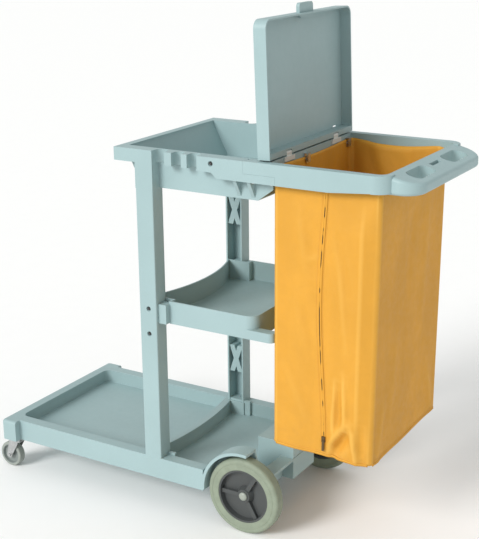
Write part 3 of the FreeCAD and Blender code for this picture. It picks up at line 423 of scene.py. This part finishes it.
def lathe(name, profile, centre, slot, body):
    """A ring turned about an axis along Y through the centre, from a closed profile of (radius, y)."""
    bm = bmesh.new()
    rings = []
    for step in range(LATHE_STEPS):
        angle = 2 * math.pi * step / LATHE_STEPS
        rings.append([bm.verts.new((centre[0] + radius * math.cos(angle), centre[1] + along,
                                    centre[2] + radius * math.sin(angle))) for radius, along in profile])
    for step in range(LATHE_STEPS):
        here, following = rings[step], rings[(step + 1) % LATHE_STEPS]
        for corner in range(len(profile)):
            after = (corner + 1) % len(profile)
            bm.faces.new((here[corner], here[after], following[after], following[corner]))
    bmesh.ops.recalc_face_normals(bm, faces=bm.faces)
    mesh = finished(bm, name)
    sharpened(mesh, LATHE_SHARP_ANGLE)
    return add_object(name, mesh, slot, body)


def arc(centre_radius, centre_along, radius, start, finish, count):
    """Points of an arc in a (radius, y) profile; angles in degrees, 0 pointing away from the axis."""
    points = []
    for step in range(count + 1):
        angle = math.radians(start + (finish - start) * step / count)
        points.append((centre_radius + radius * math.cos(angle), centre_along + radius * math.sin(angle)))
    return points


# ---------------------------------------------------------------- waste bag


# heights; x of the front and rear walls; half widths, at the hem and at the foot
BAG_TOP, BAG_LOW = 0.9555, 0.262
BAG_HEIGHT = BAG_TOP - BAG_LOW
BAG_FRONT, BAG_REAR, BAG_REAR_LOW = 0.258, 0.533, 0.524
BAG_LENGTH = BAG_REAR - BAG_FRONT
BAG_HALF, BAG_HALF_LOW = 0.203, 0.207
BAG_SKIN = 0.0014

# the walls, anticlockwise as seen from above, and the soft corner that follows each
FRONT_CORNER, REAR_CORNER, FAR_CORNER = 0.010, 0.008, 0.032
WALLS = ("near", "rear", "far", "front")
OUTWARD = {"near": Vector((0, -1, 0)), "rear": Vector((1, 0, 0)), "far": Vector((0, 1, 0)),
           "front": Vector((-1, 0, 0))}
CORNER_AFTER = {"near": REAR_CORNER, "rear": FAR_CORNER, "far": FRONT_CORNER, "front": FRONT_CORNER}
CORNER_TURN = {"near": -45, "rear": 45, "far": 135, "front": 225}
CORNER_SWELL = 0.10

# foot heights at a wall's two ends; how far its foot and its hem sag in the middle
CORNER_LOW = {"near": (0.2670, 0.2635), "rear": (0.2635, 0.2690), "far": (0.2690, 0.2675),
              "front": (0.2675, 0.2670)}
FOOT_SAG = {"near": 0.0, "rear": -0.002, "far": -0.002, "front": -0.002}
HEM_SAG = {"near": 0.0, "rear": 0.003, "far": 0.009, "front": 0.005}

# the near wall stands out on both sides of its zip; places are shares of the wall, -1 to 1
ZIP_AT, CREASE_AT = 0.015, 0.76
BULGE_BEHIND_ZIP, BULGE_BEFORE_ZIP = 0.0140, 0.0042
END_DISH, FAR_DISH, FRONT_DISH = 0.0045, 0.0120, 0.0030
UNEVEN, NEAR_UNEVEN = 0.0030, 0.0016

# the zip bows forward above a straight foot, and leans forward towards its top
ZIP_X, ZIP_TOP, ZIP_LOW = 0.400, 0.928, 0.279
ZIP_BOW, ZIP_LEAN = 0.0145, 0.004
BOW_LOW, BOW_HEIGHT = 0.31, 0.60

# each fold: start, end (shares across and down the wall), width, height
NEAR_FOLDS = (
    ((0.05, 0.995), (0.50, 0.865), 0.010, 0.0120),
    ((0.24, 0.995), (0.60, 0.895), 0.013, -0.0135),
    ((0.62, 0.860), (0.80, 0.995), 0.010, 0.0085),
    ((0.52, 0.880), (0.46, 0.690), 0.010, 0.0070),
    ((0.22, 0.945), (0.27, 0.720), 0.008, 0.0060),
    ((0.37, 0.900), (0.36, 0.730), 0.011, -0.0060),
    ((0.50, 0.600), (0.30, 0.300), 0.012, 0.0028),
    ((0.25, 0.200), (0.55, 0.420), 0.013, -0.0026),
    ((-0.30, 0.300), (0.00, 0.270), 0.007, 0.0022),
    ((0.86, 0.985), (0.84, 0.850), 0.010, -0.0040),
    ((-0.55, 0.120), (-0.35, 0.360), 0.014, 0.0020),
    ((-0.15, 0.650), (-0.45, 0.450), 0.015, -0.0022),
    ((-0.80, 0.700), (-0.25, 0.900), 0.016, 0.0022),
)
REAR_FOLDS = (
    ((-0.86, 0.990), (-0.70, 0.780), 0.014, 0.0040),
    ((-0.55, 0.900), (-0.30, 0.550), 0.020, 0.0030),
    ((0.10, 0.060), (-0.10, 0.500), 0.022, -0.0030),
    ((0.50, 0.080), (0.45, 0.620), 0.020, 0.0028),
    ((0.88, 0.980), (0.70, 0.800), 0.014, 0.0040),
)
FAR_FOLDS = (
    ((0.70, 0.010), (0.15, 0.250), 0.022, 0.0060),
    ((0.40, 0.010), (-0.25, 0.300), 0.026, -0.0070),
    ((-0.55, 0.030), (-0.30, 0.400), 0.018, 0.0040),
    ((-0.75, 0.990), (-0.40, 0.800), 0.016, 0.0040),
    ((0.55, 0.990), (0.30, 0.780), 0.014, -0.0035),
)
FOLDS = {"near": NEAR_FOLDS, "rear": REAR_FOLDS, "far": FAR_FOLDS, "front": ()}
SPANS = {"near": BAG_LENGTH, "rear": 2 * BAG_HALF, "far": BAG_LENGTH, "front": 2 * BAG_HALF}


def ramp(low, high, value):
    """A straight rise from 0 to 1."""
    return min(1.0, max(0.0, (value - low) / (high - low)))


def between(low, high, value):
    """A smooth step from 0 to 1."""
    share = ramp(low, high, value)
    return share * share * (3 - 2 * share)


def fold(across, down, start, end, width, height, span):
    """One crease: a soft ridge along a line on a wall that fades at both ends."""
    point = Vector((across * span / 2, down * BAG_HEIGHT))
    first = Vector((start[0] * span / 2, start[1] * BAG_HEIGHT))
    last = Vector((end[0] * span / 2, end[1] * BAG_HEIGHT))
    line = last - first
    share = min(1.0, max(0.0, (point - first).dot(line) / line.length_squared))
    away = (point - first - line * share).length
    fade = math.sin(math.pi * min(0.97, max(0.12, share))) ** 0.5
    return height * fade * math.exp(-(away / width) ** 2)


def wall_bulge(wall, across, down):
    """How far a wall of the bag stands out of its flat plane."""
    hung = between(0.05, 0.20, down)
    uneven = noise.noise(Vector((across * 1.6, down * 4.5, 3.0 + WALLS.index(wall) * 7.0)))
    sides = max(0.0, 1 - across * across)
    belly = math.sin(math.pi * down)
    folds = sum(fold(across, down, *crease, SPANS[wall]) for crease in FOLDS[wall])
    if wall == "near":
        off_zip = between(0.06, 0.30, abs(across - ZIP_AT))
        behind = BULGE_BEHIND_ZIP * ramp(0.06, CREASE_AT, across) * (1 - ramp(CREASE_AT, 1.0, across))
        before = BULGE_BEFORE_ZIP * between(-1.0, -0.5, across) * (1 - between(-0.5, 0.0, across))
        narrowing = 1 - 0.35 * between(0.75, 1, down)
        creased = off_zip * hung * (folds + NEAR_UNEVEN * uneven * sides)
        return hung * narrowing * (behind + before) + creased
    if wall == "rear":
        return hung * (-END_DISH * sides * belly + folds + UNEVEN * uneven * sides)
    if wall == "far":
        slack = -FAR_DISH * sides * (1 - between(0.0, 0.45, down))
        return slack * between(0.0, 0.03, down + 0.015) + folds * sides + hung * UNEVEN * uneven * sides
    return hung * (-FRONT_DISH * sides * belly + UNEVEN * uneven * sides)


def zip_line(height):
    """Where the zip runs on the near wall."""
    share = min(1.0, max(0.0, (height - BOW_LOW) / BOW_HEIGHT))
    return ZIP_X - ZIP_BOW * math.sin(math.pi * share ** 1.15) ** 1.3 - ZIP_LEAN * share


def rear_at(down):
    return BAG_REAR + (BAG_REAR_LOW - BAG_REAR) * down


def near_wall_y(height):
    return -(BAG_HALF_LOW + (BAG_HALF - BAG_HALF_LOW) * (height - BAG_LOW) / BAG_HEIGHT)


def bag_point(wall, across, down, lift=0.0):
    """A point of the bag's outside; across runs from -1 to 1 anticlockwise as seen from above."""
    rear = rear_at(down)
    half = BAG_HALF + (BAG_HALF_LOW - BAG_HALF) * down
    ends = {
        "near": ((BAG_FRONT + FRONT_CORNER, -half), (rear - REAR_CORNER, -half)),
        "rear": ((rear, -half + REAR_CORNER), (rear, half - FAR_CORNER)),
        "far": ((rear - FAR_CORNER, half), (BAG_FRONT + FRONT_CORNER, half)),
        "front": ((BAG_FRONT, half - FRONT_CORNER), (BAG_FRONT, -half + FRONT_CORNER)),
    }
    first, last = ends[wall]
    outward = OUTWARD[wall]
    share = (across + 1) / 2
    out = wall_bulge(wall, across, down) + lift
    x = first[0] + (last[0] - first[0]) * share + outward.x * out
    y = first[1] + (last[1] - first[1]) * share + outward.y * out
    return x, y, bag_height(wall, across, down)


def bag_height(wall, across, down):
    """Height on the bag; its foot dips at the near rear corner and its hem sags between the hooks."""
    low_first, low_last = CORNER_LOW[wall]
    share = (across + 1) / 2
    middle = max(0.0, 1 - across * across)
    foot = low_first + (low_last - low_first) * share + FOOT_SAG[wall] * middle
    head = BAG_TOP - HEM_SAG[wall] * middle ** 1.5
    return head + (foot - head) * down


def corner_point(wall, step, steps, down):
    """A point on the soft chamfer that follows a wall; it swells a little between its two creases."""
    following = WALLS[(WALLS.index(wall) + 1) % len(WALLS)]
    start = Vector(bag_point(wall, 1.0, down))
    finish = Vector(bag_point(following, -1.0, down))
    share = step / steps
    turn = math.radians(CORNER_TURN[wall])
    swell = CORNER_AFTER[wall] * CORNER_SWELL * 4 * share * (1 - share)
    point = start.lerp(finish, share)
    return point.x + math.cos(turn) * swell, point.y + math.sin(turn) * swell, point.z


# steps down the bag, along a near or far wall, along a front or rear wall, round a corner, in the base
BAG_ROWS, LENGTH_STEPS, WIDTH_STEPS, CORNER_STEPS, BASE_ROWS = 104, 54, 62, 5, 14
BASE_HEIGHT, BASE_MIDDLE = 0.266, 0.264
BASE_PIPING, BASE_BELLY, BASE_UNEVEN = 0.002, 0.004, 0.0015


def bag_ring(down):
    """One ring of points round the bag."""
    points = []
    for wall in WALLS:
        count = LENGTH_STEPS if wall in ("near", "far") else WIDTH_STEPS
        for step in range(count + 1):
            points.append(bag_point(wall, -1 + 2 * step / count, down))
        for step in range(1, CORNER_STEPS):
            points.append(corner_point(wall, step, CORNER_STEPS, down))
    return points


def base_ring(foot, middle_x, step):
    """One ring of points on the sewn-in base, inside the foot of the walls."""
    share = 1 - step / (BASE_ROWS + 1)
    lift = BASE_PIPING * between(0, 1, min(1, step / 1.5))
    points = []
    for point in foot:
        x = middle_x + (point.x - middle_x) * share
        y = point.y * share
        z = BASE_HEIGHT + (point.z - BASE_HEIGHT) * share
        belly = -BASE_BELLY * (1 - share) + BASE_UNEVEN * noise.noise(Vector((x * 14, y * 14, 0.4)))
        points.append((x, y, z + lift + belly))
    return points


def make_bag():
    bm = bmesh.new()
    crease_fade_and_highlight_layer = bm.verts.layers.float.new("crease")
    rings = []
    for row in range(BAG_ROWS + 1):
        rings.append([bm.verts.new(point) for point in bag_ring((row / BAG_ROWS) ** 0.96)])
    middle_x = (BAG_FRONT + BAG_REAR_LOW) / 2
    foot = [vertex.co.copy() for vertex in rings[-1]]
    for step in range(1, BASE_ROWS + 1):
        rings.append([bm.verts.new(point) for point in base_ring(foot, middle_x, step)])
    around = len(rings[0])
    for upper, lower in zip(rings, rings[1:]):
        for index in range(around):
            after = (index + 1) % around
            bm.faces.new((upper[index], lower[index], lower[after], upper[after]))
    centre = bm.verts.new((middle_x, 0.0, BASE_MIDDLE))
    for index in range(around):
        bm.faces.new((rings[-1][index], centre, rings[-1][(index + 1) % around]))
    bmesh.ops.recalc_face_normals(bm, faces=bm.faces)
    # convex bends get a crease weight that the vinyl paints paler: partly faded vinyl, partly a painted
    # highlight on the ridges
    for vertex in bm.verts:
        if len(vertex.link_edges) > 2:
            bend = max(edge.calc_face_angle_signed(0) for edge in vertex.link_edges
                       if len(edge.link_faces) == 2)
            vertex[crease_fade_and_highlight_layer] = min(1.0, max(0.0, bend * 2.2))
    mesh = finished(bm, "bag_shell")
    mesh.shade_smooth()
    shell = add_object("bag_shell", mesh, "yellow_vinyl", "cart_frame")
    add_skin(shell, BAG_SKIN)
    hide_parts("waste_bag")


def ribbon(name, lines, slot, body, thickness):
    """A strip through rows of points, given a thickness inwards."""
    bm = bmesh.new()
    rows = [[bm.verts.new(point) for point in line] for line in lines]
    for upper, lower in zip(rows, rows[1:]):
        for index in range(len(upper) - 1):
            bm.faces.new((upper[index], lower[index], lower[index + 1], upper[index + 1]))
    mesh = finished(bm, name)
    mesh.shade_smooth()
    made = add_object(name, mesh, slot, body)
    add_skin(made, thickness)
    return made


# rows of stitches as shares down the wall: two along the hem, one along the foot
STITCH_ROWS = (0.006, 0.030, 0.988)
STITCHES_PER_METRE, ZIP_STITCHES = 220, 150
STITCH_SIZE = (0.00045, 0.00045, 0.0016, 1)
STITCH_LIFT = 0.0003
ZIP_STITCH_OFFSET = 0.0085


def stitch_places():
    """Every stitch's place and direction, along the hem and the foot and on both sides of the zip."""
    places = []
    for down in STITCH_ROWS:
        for wall in WALLS:
            count = int(STITCHES_PER_METRE * SPANS[wall])
            for step in range(count + 1):
                across = -1 + 2 * step / count
                if abs(across) < 0.98:
                    place = Vector(bag_point(wall, across, down, STITCH_LIFT))
                    places.append((place, OUTWARD[wall].cross(UP)))
    wall_start = BAG_FRONT + FRONT_CORNER
    for side in (-1, 1):
        for step in range(ZIP_STITCHES):
            down = 0.045 + 0.93 * step / (ZIP_STITCHES - 1)
            line = zip_line(BAG_TOP - BAG_HEIGHT * down) + side * ZIP_STITCH_OFFSET
            across = (line - wall_start) / (rear_at(down) - wall_start - REAR_CORNER) * 2 - 1
            places.append((Vector(bag_point("near", across, down, STITCH_LIFT)), UP))
    return places


def make_stitches():
    bm = bmesh.new()
    for place, along in stitch_places():
        turn = along.to_track_quat("Z", "Y").to_matrix().to_4x4()
        matrix = Matrix.Translation(place) @ turn @ Matrix.Diagonal(STITCH_SIZE)
        bmesh.ops.create_icosphere(bm, subdivisions=1, radius=1, matrix=matrix)
    mesh = finished(bm, "bag_stitches")
    mesh.shade_smooth()
    add_object("bag_stitches", mesh, "yellow_vinyl", "cart_frame", looks["thread"])


FOOT_LIP_STEPS, FOOT_LIP_SKIN = 60, 0.0012
FOOT_LIP_START, FOOT_LIP_DROP, FOOT_LIP_FLARE, FOOT_LIP_LIFT = 0.004, 0.0065, 0.0008, 0.0006


def make_foot_lips():
    """Each wall's seam allowance, which hangs a little below the base."""
    for wall in WALLS:
        lines = []
        for drop in (0.0, 0.5, 1.0):
            line = []
            for step in range(FOOT_LIP_STEPS + 1):
                across = -1 + 2 * step / FOOT_LIP_STEPS
                x, y, z = bag_point(wall, across, 1.0, FOOT_LIP_LIFT)
                wave = FOOT_LIP_FLARE * drop * math.sin(step * 0.21 + WALLS.index(wall))
                out = OUTWARD[wall] * wave
                line.append((x + out.x, y + out.y, z + FOOT_LIP_START - FOOT_LIP_DROP * drop))
            lines.append(line)
        ribbon("bag_foot_lip_" + wall, lines, "yellow_vinyl", "cart_frame", FOOT_LIP_SKIN)


# ---------------------------------------------------------------- zip


ZIP_STEPS = 260
ZIP_LIP_EDGE, ZIP_LIP_PARTING, ZIP_LIP_SKIN = 0.00015, 0.0022, 0.0004
# a lip's section: how far past its edge, or past the zip's middle, and how far out of the wall
ZIP_LIP_ROLL = ((0.0, 0.00165), (0.0008, 0.00175))
ZIP_LIP_FLAT = ((0.0040, 0.0012), (0.0060, 0.0003))
TOOTH_PITCH, TOOTH_OFFSET, TOOTH_DEPTH = 0.0030, 0.0007, 0.0009
TOOTH_SIZE = (0.0020, 0.0010, 0.0012, 1)
TAPE_HALF, TAPE_DEPTH, TAPE_SKIN = 0.0050, 0.0004, 0.0002


def zip_heights():
    return [ZIP_LOW + (ZIP_TOP - ZIP_LOW) * step / ZIP_STEPS for step in range(ZIP_STEPS + 1)]


def make_zip_lips():
    """Two fabric lips; they part here and there, so that the dark chain shows in dashes."""
    for side, name in ((-1, "front"), (1, "rear")):
        lines = []
        for z in zip_heights():
            parted = between(-0.12, 0.16, noise.noise(Vector((z * 46, 0.3, 5.0)))) * ZIP_LIP_PARTING
            edge = ZIP_LIP_EDGE + parted * (0.5 + 0.25 * side)
            y = near_wall_y(z)
            middle = zip_line(z)
            line = [(middle + side * (edge + past), y - out, z) for past, out in ZIP_LIP_ROLL]
            line += [(middle + side * past, y - out, z) for past, out in ZIP_LIP_FLAT]
            lines.append(line)
        lip = ribbon("zip_lip_" + name, lines, "yellow_vinyl", "cart_frame", ZIP_LIP_SKIN)
        if name == "front":
            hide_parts("zip_tape")


def make_zip_chain():
    """The teeth, and the tape behind them."""
    bm = bmesh.new()
    for step in range(int((ZIP_TOP - ZIP_LOW) / TOOTH_PITCH)):
        z = ZIP_LOW + TOOTH_PITCH * step
        for side in (-1, 1):
            stagger = 0.5 * TOOTH_PITCH if side > 0 else 0
            place = (zip_line(z) + side * TOOTH_OFFSET, near_wall_y(z) - TOOTH_DEPTH, z + stagger)
            matrix = Matrix.Translation(place) @ Matrix.Diagonal(TOOTH_SIZE)
            bmesh.ops.create_cube(bm, size=1, matrix=matrix)
    add_object("zip_teeth", finished(bm, "zip_teeth"), "zip_fabric", "cart_frame")
    lines = [[(zip_line(z) + across, near_wall_y(z) - TAPE_DEPTH, z)
              for across in (-TAPE_HALF, 0.0, TAPE_HALF)] for z in zip_heights()]
    ribbon("zip_chain_tape", lines, "zip_fabric", "cart_frame", TAPE_SKIN)


# ---------------------------------------------------------------- wheels


# a rear tyre's section as (radius, y from its middle), from its bead out to its shoulder
TYRE_RADIUS, TYRE_HALF, SHOULDER = 0.1015, 0.0175, 0.0085
TYRE_SIDE = ((0.0715, -0.0155), (0.0728, -0.0166), (0.0800, -0.0170), (0.0868, -0.0172),
             (0.0874, -0.0166), (0.0886, -0.0166), (0.0892, -0.0173), (0.0925, -0.0175))
TREAD_HALF = 0.0055


def make_tyres():
    shoulder = arc(TYRE_RADIUS - SHOULDER, -TYRE_HALF + SHOULDER, SHOULDER, -86, -6, 10)
    half = [*TYRE_SIDE, *shoulder, (TYRE_RADIUS, -TREAD_HALF)]
    profile = half + [(TYRE_RADIUS, 0.0)] + [(radius, -along) for radius, along in reversed(half)]
    for name in ("left", "right"):
        low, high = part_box("wheel_tyre_" + name)
        tyre = lathe("tyre_" + name, profile, (low + high) / 2, "grey_tyre", "wheel_" + name)
        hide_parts("wheel_tyre_" + name)


# ---------------------------------------------------------------- the whole cart


def dress_nodes():
    for node, item in nodes.items():
        item.data.materials.clear()
        item.data.materials.append(looks[OTHER_LOOKS.get(node, slot_of[node])])


make_camera()
make_lights()
make_floor()
looks = make_looks()
dress_nodes()
for moulding, edge_width in EDGE_WIDTHS.items():
    moulded(moulding, edge_width * MM)
make_bag()
make_stitches()
make_foot_lips()
make_zip_lips()
make_zip_chain()
make_tyres()
